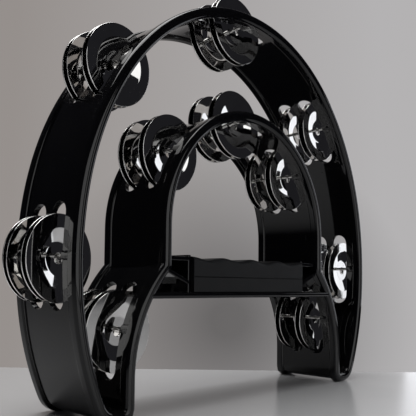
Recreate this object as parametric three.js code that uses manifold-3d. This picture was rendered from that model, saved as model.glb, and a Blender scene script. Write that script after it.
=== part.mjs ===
// Double-arch tambourine: one moulded frame with a hand bar, a soft cover on the bar,
// ten steel pins, and forty pressed jingles in twenty back-to-back pairs.
// Millimetres, +Z up, the front faces -Y, and the two feet stand on z = 0.
import * as THREE from 'three';
import { mergeVertices } from 'three/addons/utils/BufferGeometryUtils.js';
import Module from 'manifold-3d';

// ---- driving dimensions -------------------------------------------------------------

const FRAME_DEPTH = 52; // front face to rear face
const WALL = 3; // thickness of the band's wall
const BEAD = 6; // rounded rim on both open edges of the band, width and depth
const BEAD_ROUND = 1.6; // corner taken off the rim

// Outer arch: the middle of its wall is a superellipse.
const OUTER_HALF_WIDTH = 124.5;
const OUTER_RISE = 148.5; // widest level to crown
const OUTER_FALL = 142; // half height of the curve below its widest level
const OUTER_WAIST = 77; // level at which the arch is widest
const OUTER_POWER = 2.06;
const OUTER_STEPS = 20; // from one foot to the crown

// Inner arch: a half ellipse on two upright sides, down to a kink beside the hand bar.
const INNER_HALF_WIDTH = 69.6;
const INNER_SPRING = 97.7; // level at which the sides turn into the ellipse
const INNER_RISE = 68.8;
const INNER_STEPS = 13;
const KINK = 76; // level of the kink

// Legs: an arc from the kink outward and down, then straight to the foot.
const LEG_HALF_SPAN = 92.8; // middle of the leg's wall at the foot
const LEG_ARC_END = 20; // level at which the arc has turned upright
const LEG_STEPS = 7;

// Feet: a flat base between two rounded corners.
const FOOT_ROUND_INNER = 4;
const FOOT_ROUND_OUTER = 6;
const FOOT_STEPS = 4;

// Jingles
const JINGLE_DIAMETER = 42;
const JINGLE_SHEET = 0.6;
const JINGLE_RIM = 6.4; // width of the flat rim
const JINGLE_MIDDLE = 15.5; // diameter of the flat middle, which is pressed towards its partner
const JINGLE_HOLE = 5.2;
const JINGLE_SIDES = 16;
const PAIR_GAP = 3.4; // between the two rims of a pair, whose middles meet back to back

// Pins and the slots that the jingles stand in
const PIN_DIAMETER = 2;
const PIN_SIDES = 8;
const PIN_RECESS = 0.4; // the pin's end below the rear face
const BLIND_COVER = 4; // plastic left in front of the pin
const FIT_GAP = 0.3; // between pieces that touch
const BOSS_WALL = 1.4; // plastic round the pin's hole
const DIVIDER = 4.8; // wall between the two rows of slots
const SLOT_WIDTH = 12; // along the pin
const SLOT_END_CLEARANCE = 4.6; // beyond the jingle at each end of its slot
const SLOT_END_STEPS = 8; // round each end of a slot
const SLOT_CUT = 16; // thickness of the cutter, across the wall

// Hand bar between the legs of the inner arch
const BAR_TOP = 81.6; // top of the end flanges
const BAR_BOTTOM = 59.2; // bottom of the rails
const BAR_HALF_LENGTH = 53; // outer faces of the two end plates
const BAR_DEPTH = 41; // hollow core, front to rear
const BAR_WALL = 2.5;
const RAIL_HEIGHT = 3.2;
const RAIL_ROUND = 1.2; // corner taken off the rails
const END_PLATE_RISE = 0.9; // the end plates stand over the flanges
const GUSSET_DROP = 7; // fall of the sloping web from the arch to the end plate
const RIBS = 3; // inside the hollow core

// Soft cover on the bar
const GRIP_WALL = 3; // its top, and the least for its front and rear
const GRIP_RISE = 0.1; // the cover's ridges over the end flanges
const GRIP_PROUD = 1; // the cover stands back this much from the front face
const GRIP_WAVES = 4; // finger hollows along its top
const GRIP_WAVE_DEPTH = 1.5;
const GRIP_WAVE_STEPS = 6;
const GRIP_ROUND = 1.2;

// Stations on each arch, as angles of its curve from the level direction
const SIDE_ANGLE = 0.8; // degrees, outer arch, or higher where the leg's jingle needs the room
const SHOULDER_ANGLE = 43; // degrees, outer arch
const INNER_SHOULDER_ANGLE = 38; // degrees, inner arch
const LEG_STATION = 43.9; // level of the jingles on the legs
const SIDE_SPACING = 5.8; // least room between a leg's jingles and those on the side of the arch

// ---- sizes worked out from those ----------------------------------------------------

const FACE = FRAME_DEPTH / 2;
const BASE = BEAD / 2; // the wall's middle runs this far over the ground at the feet
const JINGLE_RADIUS = JINGLE_DIAMETER / 2;
const JINGLE_RISE = (PAIR_GAP - FIT_GAP) / 2; // from the flat rim to the middle
const ROW_OFFSET = (DIVIDER + SLOT_WIDTH) / 2;
const PIN_HOLE_RADIUS = PIN_DIAMETER / 2 + FIT_GAP;
const HANG = (JINGLE_HOLE - PIN_DIAMETER) / 2 - FIT_GAP; // a jingle hangs from the top of its hole
const CORE_TOP = BAR_TOP + GRIP_RISE - GRIP_WALL - FIT_GAP;
const RAIL_TOP = BAR_BOTTOM + RAIL_HEIGHT;
const CHANNEL_HALF = BAR_DEPTH / 2 + FIT_GAP; // inside of the cover, from the middle
const COVER_HALF = Math.max(FACE - GRIP_PROUD, CHANNEL_HALF + GRIP_WALL); // its walls never thin out

// Radius and centre of the leg's arc: it is upright at its lower end and meets the kink.
const LEG_FALL = KINK - LEG_ARC_END;
const LEG_REACH = LEG_HALF_SPAN - INNER_HALF_WIDTH;
const LEG_RADIUS = (LEG_FALL ** 2 + LEG_REACH ** 2) / (2 * LEG_REACH);
const LEG_CENTRE = LEG_HALF_SPAN - LEG_RADIUS;

// ---- solids -------------------------------------------------------------------------

const wasm = await Module();
wasm.setup();

function solid(geometry) {
  const bare = geometry.index ? geometry.toNonIndexed() : geometry.clone();
  bare.deleteAttribute('normal');
  bare.deleteAttribute('uv');
  const merged = mergeVertices(bare, 1e-4);
  return new wasm.Manifold(new wasm.Mesh({
    numProp: 3,
    vertProperties: merged.attributes.position.array,
    triVerts: new Uint32Array(merged.index.array),
  }));
}

function toGeometry(manifold) {
  const mesh = manifold.getMesh();
  const geometry = new THREE.BufferGeometry();
  geometry.setAttribute('position', new THREE.BufferAttribute(mesh.vertProperties, 3));
  geometry.setIndex(new THREE.BufferAttribute(mesh.triVerts, 1));
  const faceted = geometry.toNonIndexed();
  faceted.computeVertexNormals();
  return faceted;
}

// A shape drawn in x and z, carried from y = -depth / 2 to y = depth / 2.
function plate(shape, depth, round = 0) {
  const geometry = new THREE.ExtrudeGeometry(shape, {
    depth: depth - 2 * round,
    steps: 1,
    bevelEnabled: round > 0,
    bevelThickness: round,
    bevelSize: round,
    bevelOffset: -round,
    bevelSegments: 1,
  });
  geometry.translate(0, 0, round - depth / 2);
  geometry.rotateX(Math.PI / 2);
  return geometry;
}

function block(x0, x1, y0, y1, z0, z1) {
  const geometry = new THREE.BoxGeometry(x1 - x0, y1 - y0, z1 - z0);
  geometry.translate((x0 + x1) / 2, (y0 + y1) / 2, (z0 + z1) / 2);
  return solid(geometry);
}

// A round bar along y through the point (x, z).
function bar(x, z, radius, y0, y1, sides) {
  const geometry = new THREE.CylinderGeometry(radius, radius, y1 - y0, sides);
  geometry.translate(x, (y0 + y1) / 2, z);
  return geometry;
}

// ---- outline of the band ------------------------------------------------------------

function outerPoint(angle) {
  const c = Math.cos(angle);
  const s = Math.sin(angle);
  const power = 2 / OUTER_POWER;
  return new THREE.Vector2(
    OUTER_HALF_WIDTH * Math.sign(c) * Math.abs(c) ** power,
    OUTER_WAIST + (s < 0 ? -OUTER_FALL : OUTER_RISE) * Math.abs(s) ** power,
  );
}

// Where the lower part of the outer arch reaches a level.
function outerAngleAtLevel(z) {
  const share = (OUTER_WAIST - z) / OUTER_FALL;
  return -Math.asin(share ** (OUTER_POWER / 2));
}

function innerPoint(angle) {
  return new THREE.Vector2(
    INNER_HALF_WIDTH * Math.cos(angle),
    INNER_SPRING + INNER_RISE * Math.sin(angle),
  );
}

function legPoint(z) {
  return new THREE.Vector2(LEG_CENTRE + Math.sqrt(LEG_RADIUS ** 2 - (z - LEG_ARC_END) ** 2), z);
}

// The right half of the wall's middle line, from the outer crown round the foot to the inner crown.
function halfOutline() {
  const points = [];
  const footEnd = outerAngleAtLevel(BASE + FOOT_ROUND_OUTER);
  for (let i = 0; i <= OUTER_STEPS; i += 1) {
    points.push(outerPoint(Math.PI / 2 + ((footEnd - Math.PI / 2) * i) / OUTER_STEPS));
  }
  const outerEnd = points.at(-1);
  const outerCorner = new THREE.Vector2(outerPoint(outerAngleAtLevel(BASE)).x, BASE);
  const flatOuter = new THREE.Vector2(outerCorner.x - FOOT_ROUND_OUTER, BASE);
  const flatInner = new THREE.Vector2(LEG_HALF_SPAN + FOOT_ROUND_INNER, BASE);
  const innerCorner = new THREE.Vector2(LEG_HALF_SPAN, BASE);
  const innerEnd = new THREE.Vector2(LEG_HALF_SPAN, BASE + FOOT_ROUND_INNER);
  const outerRound = new THREE.QuadraticBezierCurve(outerEnd, outerCorner, flatOuter);
  const innerRound = new THREE.QuadraticBezierCurve(flatInner, innerCorner, innerEnd);
  points.push(...outerRound.getPoints(FOOT_STEPS).slice(1));
  points.push(...innerRound.getPoints(FOOT_STEPS));
  for (let i = 0; i < LEG_STEPS; i += 1) {
    points.push(legPoint(LEG_ARC_END + (LEG_FALL * i) / LEG_STEPS));
  }
  points.push(new THREE.Vector2(INNER_HALF_WIDTH, KINK));
  for (let i = 0; i <= INNER_STEPS; i += 1) {
    points.push(innerPoint((Math.PI / 2) * (i / INNER_STEPS)));
  }
  return points;
}

// The whole line, closed: the right half, then its mirror image back to the start.
function outline() {
  const right = halfOutline();
  const left = right.slice(1, -1).reverse().map((p) => new THREE.Vector2(-p.x, p.y));
  return [...right, ...left];
}

// The line moved sideways by a distance, with its corners kept sharp.
function offsetLine(points, distance) {
  return points.map((point, i) => {
    const before = points.at(i - 1);
    const after = points[(i + 1) % points.length];
    const arriving = point.clone().sub(before).normalize();
    const leaving = after.clone().sub(point).normalize();
    const normal = new THREE.Vector2(arriving.y + leaving.y, -arriving.x - leaving.x).normalize();
    const stretch = 1 / (normal.x * leaving.y - normal.y * leaving.x);
    return point.clone().addScaledVector(normal, distance * stretch);
  });
}

function ribbon(width) {
  const line = outline();
  const shape = new THREE.Shape(offsetLine(line, -width / 2));
  shape.holes.push(new THREE.Path(offsetLine(line, width / 2).reverse()));
  return shape;
}

// ---- stations of the jingles --------------------------------------------------------

const DEGREE = Math.PI / 180;
const ANGLE_HALVINGS = 40;

function onOuterArch(degrees) {
  const angle = degrees * DEGREE;
  const ahead = outerPoint(angle + 0.01).sub(outerPoint(angle - 0.01));
  return { place: outerPoint(angle), along: Math.atan2(ahead.y, ahead.x) };
}

function onInnerArch(degrees) {
  const angle = degrees * DEGREE;
  const ahead = innerPoint(angle + 0.01).sub(innerPoint(angle - 0.01));
  return { place: innerPoint(angle), along: Math.atan2(ahead.y, ahead.x) };
}

function onLeg(level) {
  const ahead = legPoint(level + 0.1).sub(legPoint(level - 0.1));
  return { place: legPoint(level), along: Math.atan2(ahead.y, ahead.x) };
}

// The side station's angle: the named one, or the lowest above it that clears the leg's jingle.
function sideAngle() {
  const leg = legPoint(LEG_STATION);
  let low = SIDE_ANGLE;
  let high = SHOULDER_ANGLE;
  for (let i = 0; i < ANGLE_HALVINGS; i += 1) {
    const middle = (low + high) / 2;
    const distance = onOuterArch(middle).place.distanceTo(leg);
    if (distance > JINGLE_DIAMETER + SIDE_SPACING) high = middle;
    else low = middle;
  }
  return high;
}

function mirrored({ place, along }) {
  return { place: new THREE.Vector2(-place.x, place.y), along: Math.PI - along };
}

const STATIONS = {
  crown: onOuterArch(90),
  shoulder_right: onOuterArch(SHOULDER_ANGLE),
  shoulder_left: mirrored(onOuterArch(SHOULDER_ANGLE)),
  side_right: onOuterArch(sideAngle()),
  side_left: mirrored(onOuterArch(sideAngle())),
  inner_crown: onInnerArch(90),
  inner_right: onInnerArch(INNER_SHOULDER_ANGLE),
  inner_left: mirrored(onInnerArch(INNER_SHOULDER_ANGLE)),
  leg_right: onLeg(LEG_STATION),
  leg_left: mirrored(onLeg(LEG_STATION)),
};

const ROWS = { front: -ROW_OFFSET, rear: ROW_OFFSET };

// ---- the moulded frame --------------------------------------------------------------

// A slot with round ends, cut square through the wall.
function slotCutter({ place, along }, y) {
  const round = SLOT_WIDTH / 2;
  const straight = JINGLE_RADIUS + SLOT_END_CLEARANCE - round;
  const shape = new THREE.Shape();
  shape.absarc(straight, 0, round, -Math.PI / 2, Math.PI / 2);
  shape.absarc(-straight, 0, round, Math.PI / 2, (3 * Math.PI) / 2);
  const geometry = new THREE.ExtrudeGeometry(shape, {
    depth: SLOT_CUT,
    steps: 1,
    bevelEnabled: false,
    curveSegments: SLOT_END_STEPS,
  });
  geometry.translate(0, 0, -SLOT_CUT / 2);
  geometry.rotateY(-along);
  geometry.translate(place.x, y, place.y);
  return solid(geometry);
}

function band() {
  let body = solid(plate(ribbon(WALL), FRAME_DEPTH - BEAD));
  for (const side of [-1, 1]) {
    const rim = plate(ribbon(BEAD), BEAD, BEAD_ROUND);
    rim.translate(0, side * (FACE - BEAD / 2), 0);
    body = body.add(solid(rim));
  }
  return body;
}

// One end of the bar: flange, end plate and sloping web; side is 1 on the right.
function barEnd(side) {
  const span = (a, b) => [Math.min(side * a, side * b), Math.max(side * a, side * b)];
  const depth = FACE - BEAD / 2;
  const [f0, f1] = span(BAR_HALF_LENGTH - BAR_WALL / 2, INNER_HALF_WIDTH);
  const [p0, p1] = span(BAR_HALF_LENGTH - BAR_WALL, BAR_HALF_LENGTH);
  const flange = block(f0, f1, -depth, depth, BAR_TOP - BAR_WALL, BAR_TOP);
  const endPlate = block(p0, p1, -depth, depth, BAR_BOTTOM + RAIL_HEIGHT / 2, BAR_TOP + END_PLATE_RISE);
  const web = new THREE.Shape([
    new THREE.Vector2(side * INNER_HALF_WIDTH, KINK),
    new THREE.Vector2(side * INNER_HALF_WIDTH, KINK - BAR_WALL),
    new THREE.Vector2(side * (BAR_HALF_LENGTH - BAR_WALL / 2), KINK - BAR_WALL - GUSSET_DROP),
    new THREE.Vector2(side * (BAR_HALF_LENGTH - BAR_WALL / 2), KINK - GUSSET_DROP),
  ]);
  return flange.add(endPlate).add(solid(plate(web, 2 * depth)));
}

// A rounded rail under the bar, from leg to leg; side is 1 at the rear.
function rail(side) {
  const reach = legPoint(BAR_BOTTOM + RAIL_HEIGHT / 2).x;
  const shape = new THREE.Shape([
    new THREE.Vector2(-reach, BAR_BOTTOM),
    new THREE.Vector2(reach, BAR_BOTTOM),
    new THREE.Vector2(reach, RAIL_TOP),
    new THREE.Vector2(-reach, RAIL_TOP),
  ]);
  const geometry = plate(shape, BEAD, RAIL_ROUND);
  geometry.translate(0, side * (FACE - BEAD / 2), 0);
  return solid(geometry);
}

// The core is a channel that is open below, with ribs across it.
function barCore() {
  const reach = BAR_HALF_LENGTH - BAR_WALL / 2;
  const half = BAR_DEPTH / 2;
  let core = block(-reach, reach, -half, half, CORE_TOP - BAR_WALL, CORE_TOP);
  for (const side of [-1, 1]) {
    const [y0, y1] = side < 0 ? [-half, BAR_WALL - half] : [half - BAR_WALL, half];
    core = core.add(block(-reach, reach, y0, y1, BAR_BOTTOM + RAIL_HEIGHT / 2, CORE_TOP));
    const [s0, s1] = side < 0 ? [BEAD / 2 - FACE, BAR_WALL - half] : [half - BAR_WALL, FACE - BEAD / 2];
    core = core.add(block(-reach, reach, s0, s1, RAIL_TOP - BAR_WALL, RAIL_TOP));
  }
  for (let i = 1; i <= RIBS; i += 1) {
    const x = -reach + (2 * reach * i) / (RIBS + 1);
    core = core.add(block(x - BAR_WALL / 2, x + BAR_WALL / 2, -half, half, RAIL_TOP, CORE_TOP));
  }
  return core;
}

function frame() {
  let body = band().add(barEnd(-1)).add(barEnd(1)).add(rail(-1)).add(rail(1)).add(barCore());
  const inside = FACE - BEAD / 2;
  for (const { place } of Object.values(STATIONS)) {
    const boss = bar(place.x, place.y, PIN_HOLE_RADIUS + BOSS_WALL, -inside, inside, PIN_SIDES);
    body = body.add(solid(boss));
  }
  for (const station of Object.values(STATIONS)) {
    for (const y of Object.values(ROWS)) {
      body = body.subtract(slotCutter(station, y));
    }
    const { x, y: z } = station.place;
    const holeEnd = BLIND_COVER - FACE - FIT_GAP;
    body = body.subtract(solid(bar(x, z, PIN_HOLE_RADIUS, holeEnd, FACE + 1, PIN_SIDES)));
  }
  return toGeometry(body);
}

// ---- the soft cover -----------------------------------------------------------------

function gripCover() {
  const reach = BAR_HALF_LENGTH - BAR_WALL - FIT_GAP;
  const top = BAR_TOP + GRIP_RISE;
  const bottom = RAIL_TOP + FIT_GAP;
  const points = [new THREE.Vector2(-reach, bottom), new THREE.Vector2(reach, bottom)];
  const steps = GRIP_WAVES * GRIP_WAVE_STEPS;
  for (let i = 0; i <= steps; i += 1) {
    const hollow = (1 - Math.cos((2 * Math.PI * i) / GRIP_WAVE_STEPS)) / 2;
    points.push(new THREE.Vector2(reach - (2 * reach * i) / steps, top - GRIP_WAVE_DEPTH * hollow));
  }
  const outside = solid(plate(new THREE.Shape(points), 2 * COVER_HALF, GRIP_ROUND));
  const channel = block(-reach - 1, reach + 1, -CHANNEL_HALF, CHANNEL_HALF, 0, CORE_TOP + FIT_GAP);
  return toGeometry(outside.subtract(channel));
}

// ---- jingles and pins ---------------------------------------------------------------

// A pressed disc on the y axis; its rim lies on y = 0 and its middle is pressed towards +y.
function jingle() {
  const rim = JINGLE_RADIUS - JINGLE_RIM;
  const middle = JINGLE_MIDDLE / 2;
  const hole = JINGLE_HOLE / 2;
  const profile = [
    new THREE.Vector2(hole, -JINGLE_RISE),
    new THREE.Vector2(middle, -JINGLE_RISE),
    new THREE.Vector2(rim, 0),
    new THREE.Vector2(JINGLE_RADIUS, 0),
    new THREE.Vector2(JINGLE_RADIUS, JINGLE_SHEET),
    new THREE.Vector2(rim, JINGLE_SHEET),
    new THREE.Vector2(middle, JINGLE_SHEET - JINGLE_RISE),
    new THREE.Vector2(hole, JINGLE_SHEET - JINGLE_RISE),
    new THREE.Vector2(hole, -JINGLE_RISE),
  ];
  const geometry = new THREE.LatheGeometry(profile, JINGLE_SIDES);
  geometry.rotateX(Math.PI);
  return toGeometry(solid(geometry));
}

function pin() {
  const front = BLIND_COVER - FACE;
  const geometry = bar(0, 0, PIN_DIAMETER / 2, front, FACE - PIN_RECESS, PIN_SIDES);
  return toGeometry(solid(geometry));
}

// ---- assembly -----------------------------------------------------------------------

const BLACK_PLASTIC = { color: 0x0b0b0d, roughness: 0.14, metalness: 0 };
const SOFT_COVER = { color: 0x101011, roughness: 0.7, metalness: 0 };
const PIN_STEEL = { color: 0x8f9194, roughness: 0.32, metalness: 1 };
const BRIGHT_NICKEL = { color: 0xd6d4cf, roughness: 0.06, metalness: 1 };

function named(name, geometry, finish) {
  const mesh = new THREE.Mesh(geometry, new THREE.MeshStandardMaterial(finish));
  mesh.name = name;
  return mesh;
}

const tambourine = new THREE.Group();
tambourine.add(named('frame', frame(), BLACK_PLASTIC));
tambourine.add(named('grip_cover', gripCover(), SOFT_COVER));

for (const [station, { place }] of Object.entries(STATIONS)) {
  const group = new THREE.Group();
  group.position.set(place.x, 0, place.y);
  group.add(named(`pin_${station}`, pin(), PIN_STEEL));
  for (const [row, y] of Object.entries(ROWS)) {
    const front = named(`jingle_${station}_${row}_a`, jingle(), BRIGHT_NICKEL);
    front.position.set(0, y - PAIR_GAP / 2, -HANG);
    const rear = named(`jingle_${station}_${row}_b`, jingle(), BRIGHT_NICKEL);
    rear.position.set(0, y + PAIR_GAP / 2, -HANG);
    rear.rotation.z = Math.PI;
    group.add(front, rear);
  }
  tambourine.add(group);
}

export default tambourine;
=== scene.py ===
# %% [markdown]
# # A double-arch tambourine
#
# This lesson builds the looks of a hand-held tambourine round a fixed mechanical model. The
# instrument is one glossy moulded frame, a soft cover on its hand bar, ten steel pins, and forty
# pressed nickel jingles that hang on the pins in loose pairs.
#
# The mechanical model already says where every piece is. So no place is guessed here: the corners
# of each piece's box give its centre, and only small shapes such as round edges are chosen here.

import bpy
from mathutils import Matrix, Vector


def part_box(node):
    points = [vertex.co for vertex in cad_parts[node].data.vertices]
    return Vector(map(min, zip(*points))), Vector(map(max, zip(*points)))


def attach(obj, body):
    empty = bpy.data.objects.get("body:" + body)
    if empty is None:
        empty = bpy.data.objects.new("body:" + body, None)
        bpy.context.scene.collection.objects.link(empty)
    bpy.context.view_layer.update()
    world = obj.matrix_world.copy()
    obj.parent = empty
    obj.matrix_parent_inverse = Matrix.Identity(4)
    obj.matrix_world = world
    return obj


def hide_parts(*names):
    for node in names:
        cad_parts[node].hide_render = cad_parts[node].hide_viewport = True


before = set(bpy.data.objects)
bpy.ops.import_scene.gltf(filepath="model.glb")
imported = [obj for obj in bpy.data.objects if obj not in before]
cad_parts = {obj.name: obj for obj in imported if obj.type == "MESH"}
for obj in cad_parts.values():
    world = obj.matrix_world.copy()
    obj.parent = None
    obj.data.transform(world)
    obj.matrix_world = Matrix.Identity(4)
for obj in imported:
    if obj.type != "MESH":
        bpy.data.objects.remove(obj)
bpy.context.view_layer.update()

import bisect
import math
import random

import bpy
from mathutils import Matrix, Vector

# %% [markdown]
# ## Small helpers
#
# Every operator in Blender acts on whatever is selected. A script that forgets this soon bevels or
# moves the wrong piece, so these helpers first clear the selection and then choose by place.

# %% Helpers for selecting and finishing
MM = 0.001
NEAR = 0.01 * MM  # closer than this counts as the same place
SMOOTH_ANGLE = math.radians(32)


def deselect_everything():
    """Leaves edit mode, and leaves nothing selected."""
    active = bpy.context.view_layer.objects.active
    if active and active.mode != "OBJECT":
        bpy.ops.object.mode_set(mode="OBJECT")
    bpy.ops.object.select_all(action="DESELECT")


def only(piece):
    """Makes one piece the selected and active one."""
    deselect_everything()
    piece.select_set(True)
    bpy.context.view_layer.objects.active = piece


def name_new(name):
    """Names the primitive that was just added, and its mesh."""
    piece = bpy.context.active_object
    piece.name = name
    piece.data.name = name
    return piece


def pick(piece, kind, wanted):
    """Enters edit mode with only those verts, edges or faces for which wanted(element) is true."""
    bpy.ops.object.mode_set(mode="EDIT")
    bpy.ops.mesh.select_mode(type=kind)
    bpy.ops.mesh.select_all(action="DESELECT")
    bpy.ops.object.mode_set(mode="OBJECT")
    mesh = piece.data
    elements = {"VERT": mesh.vertices, "EDGE": mesh.edges, "FACE": mesh.polygons}[kind]
    chosen = [element.index for element in elements if wanted(element)]
    for index in chosen:
        elements[index].select = True
    bpy.ops.object.mode_set(mode="EDIT")
    return len(chosen)


def ends(piece, edge):
    """The two end points of an edge."""
    return [piece.data.vertices[index].co for index in edge.vertices]


def apply_modifier(piece, kind, **values):
    """Adds a modifier with the values given, and applies it."""
    only(piece)
    modifier = piece.modifiers.new(kind.title(), kind)
    for key, value in values.items():
        setattr(modifier, key, value)
    bpy.ops.object.modifier_apply(modifier=modifier.name)


def tidy_normals(piece):
    """Merges doubled points, then turns every face outwards."""
    only(piece)
    bpy.ops.object.mode_set(mode="EDIT")
    bpy.ops.mesh.select_all(action="SELECT")
    bpy.ops.mesh.remove_doubles(threshold=0.002 * MM)
    bpy.ops.mesh.normals_make_consistent(inside=False)
    bpy.ops.object.mode_set(mode="OBJECT")


def smooth(piece):
    """Shades round stretches smooth and keeps corners crisp."""
    only(piece)
    bpy.ops.object.shade_smooth_by_angle(angle=SMOOTH_ANGLE)


def rounded_block(name, low, high, edge_round, segments=3):
    """A block between two corners, with all its edges rounded."""
    deselect_everything()
    low, high = Vector(low), Vector(high)
    bpy.ops.mesh.primitive_cube_add(size=1, location=(low + high) / 2, scale=high - low)
    piece = name_new(name)
    bpy.ops.object.transform_apply(location=True, rotation=True, scale=True)
    apply_modifier(piece, "BEVEL", width=edge_round, segments=segments, limit_method="ANGLE")
    return piece


def join(pieces, name):
    """Makes several objects one object."""
    deselect_everything()
    for piece in pieces:
        piece.select_set(True)
    bpy.context.view_layer.objects.active = pieces[0]
    bpy.ops.object.join()
    return name_new(name)


# %% [markdown]
# ## Driving sizes
#
# The frame's box gives its half depth and half width. What the box can't say, such as how thick
# the moulded wall is, is named here once, and everything that follows is worked out from it.

# %% Sizes of the moulded frame
frame_low, frame_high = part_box("frame")
FACE = frame_high.y
WALL = 3 * MM
BEAD = 6 * MM

OUTER_HALF_WIDTH = frame_high.x - BEAD / 2
OUTER_WAIST = 77 * MM
OUTER_RISE = frame_high.z - BEAD / 2 - OUTER_WAIST
OUTER_FALL = 142 * MM
OUTER_POWER = 2.06

INNER_HALF_WIDTH = 69.6 * MM
INNER_SPRING = 97.7 * MM
INNER_RISE = 68.8 * MM
KINK = 76 * MM

LEG_HALF_SPAN = 92.8 * MM
LEG_ARC_END = 20 * MM
LEG_REACH = LEG_HALF_SPAN - INNER_HALF_WIDTH
LEG_RADIUS = ((KINK - LEG_ARC_END) ** 2 + LEG_REACH**2) / (2 * LEG_REACH)
FOOT_ROUND_INNER = 4 * MM
FOOT_ROUND_OUTER = 6 * MM
BASE = BEAD / 2

# The stations stand where the pins are.
STATIONS = {}
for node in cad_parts:
    if node.startswith("pin_"):
        low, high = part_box(node)
        STATIONS[node.removeprefix("pin_")] = (low + high) / 2
print("face at", round(FACE / MM, 2), "mm;", len(STATIONS), "stations")

# %% [markdown]
# ## The camera
#
# The eye is low and close, level with the lower jingles and a little left of the front. A short
# distance makes the near side of the arch look much larger than the far side. The small shift
# moves the picture on the sensor without tilting the uprights.

# %% Camera
CAMERA_PLACE = Vector((-0.2850, -0.2555, 0.0670))
CAMERA_AZIMUTH = math.radians(-45.51)
CAMERA_ELEVATION = math.radians(-2.83)
CAMERA_ROLL = math.radians(0.68)

back = Vector((
    math.sin(CAMERA_AZIMUTH) * math.cos(CAMERA_ELEVATION),
    -math.cos(CAMERA_AZIMUTH) * math.cos(CAMERA_ELEVATION),
    math.sin(CAMERA_ELEVATION),
))
level = Vector((math.cos(CAMERA_AZIMUTH), math.sin(CAMERA_AZIMUTH), 0))
upright = back.cross(level)
right = level * math.cos(CAMERA_ROLL) + upright * math.sin(CAMERA_ROLL)
up = upright * math.cos(CAMERA_ROLL) - level * math.sin(CAMERA_ROLL)

camera_data = bpy.data.cameras.new("camera")
camera_data.lens = 53.3
camera_data.sensor_width = 36
camera_data.shift_x = 0.0329
camera_data.shift_y = 0.1089
camera_data.clip_start = 0.01
camera = bpy.data.objects.new("camera", camera_data)
bpy.context.scene.collection.objects.link(camera)
camera.matrix_world = Matrix.Translation(CAMERA_PLACE) @ Matrix((right, up, back)).transposed().to_4x4()
bpy.context.scene.camera = camera
bpy.context.scene.view_settings.view_transform = "Standard"
print("camera", [round(value, 4) for value in camera.location])

# %% [markdown]
# ## Node helpers and shared finishes
#
# Three effects turn up on more than one material: fine rubbing marks, settled dust and a fine
# grain. Each is a node group with named sockets, so a material sets its own scale and reads its
# own mask. The groups only give out masks and heights. The shaders stay in the materials.

# %% Helpers for nodes
def link(tree, source, target):
    tree.links.new(source, target)


def add_node(tree, kind, **values):
    """Adds a node; values with a plain name are properties, and the rest are set by the caller."""
    made = tree.nodes.new(kind)
    for key, value in values.items():
        setattr(made, key, value)
    return made


def noise(tree, position, scale, detail=3.0, roughness=0.55, stretch=None):
    """Noise on a position, which may first be stretched along its axes."""
    if stretch:
        mapping = add_node(tree, "ShaderNodeMapping")
        mapping.inputs["Scale"].default_value = stretch
        link(tree, position, mapping.inputs["Vector"])
        position = mapping.outputs["Vector"]
    made = add_node(tree, "ShaderNodeTexNoise")
    made.inputs["Detail"].default_value = detail
    made.inputs["Roughness"].default_value = roughness
    link(tree, position, made.inputs["Vector"])
    if isinstance(scale, (int, float)):
        made.inputs["Scale"].default_value = scale
    else:
        link(tree, scale, made.inputs["Scale"])
    return made.outputs["Fac"]


def remap(tree, value, low, high, to_low=0.0, to_high=1.0):
    """Stretches the part of a value between low and high over a new range."""
    made = add_node(tree, "ShaderNodeMapRange")
    made.inputs["From Min"].default_value = low
    made.inputs["From Max"].default_value = high
    made.inputs["To Min"].default_value = to_low
    made.inputs["To Max"].default_value = to_high
    link(tree, value, made.inputs["Value"])
    return made.outputs["Result"]


def calculate(tree, operation, first, second):
    made = add_node(tree, "ShaderNodeMath", operation=operation)
    for socket, value in zip(made.inputs, (first, second)):
        if isinstance(value, (int, float)):
            socket.default_value = value
        else:
            link(tree, value, socket)
    return made.outputs["Value"]


def tint(tree, mask, dark, light):
    """A colour between two colours, by a mask."""
    made = add_node(tree, "ShaderNodeMix", data_type="RGBA")
    sockets = [socket for socket in made.inputs if socket.type == "RGBA"]
    sockets[0].default_value = (*dark, 1)
    sockets[1].default_value = (*light, 1)
    link(tree, mask, made.inputs["Factor"])
    return [socket for socket in made.outputs if socket.type == "RGBA"][0]


def new_group(name, outputs):
    """A node group that takes a position and a scale."""
    tree = bpy.data.node_groups.new(name, "ShaderNodeTree")
    tree.interface.new_socket("Position", in_out="INPUT", socket_type="NodeSocketVector")
    tree.interface.new_socket("Scale", in_out="INPUT", socket_type="NodeSocketFloat")
    for output in outputs:
        tree.interface.new_socket(output, in_out="OUTPUT", socket_type="NodeSocketFloat")
    return tree, tree.nodes.new("NodeGroupInput"), tree.nodes.new("NodeGroupOutput")


# %% The three shared groups
def make_rubbing():
    """Fine marks in two directions, where hands and cloths have rubbed."""
    tree, given, out = new_group("rubbing_marks", ["Mask"])
    position, scale = given.outputs["Position"], given.outputs["Scale"]
    one = noise(tree, position, scale, detail=2, stretch=(1, 9, 14))
    two = noise(tree, position, scale, detail=2, stretch=(13, 8, 1))
    lines = calculate(tree, "MAXIMUM", remap(tree, one, 0.63, 0.72), remap(tree, two, 0.65, 0.74))
    patches = remap(tree, noise(tree, position, 38), 0.42, 0.62)
    link(tree, calculate(tree, "MULTIPLY", lines, patches), out.inputs["Mask"])
    return tree


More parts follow.
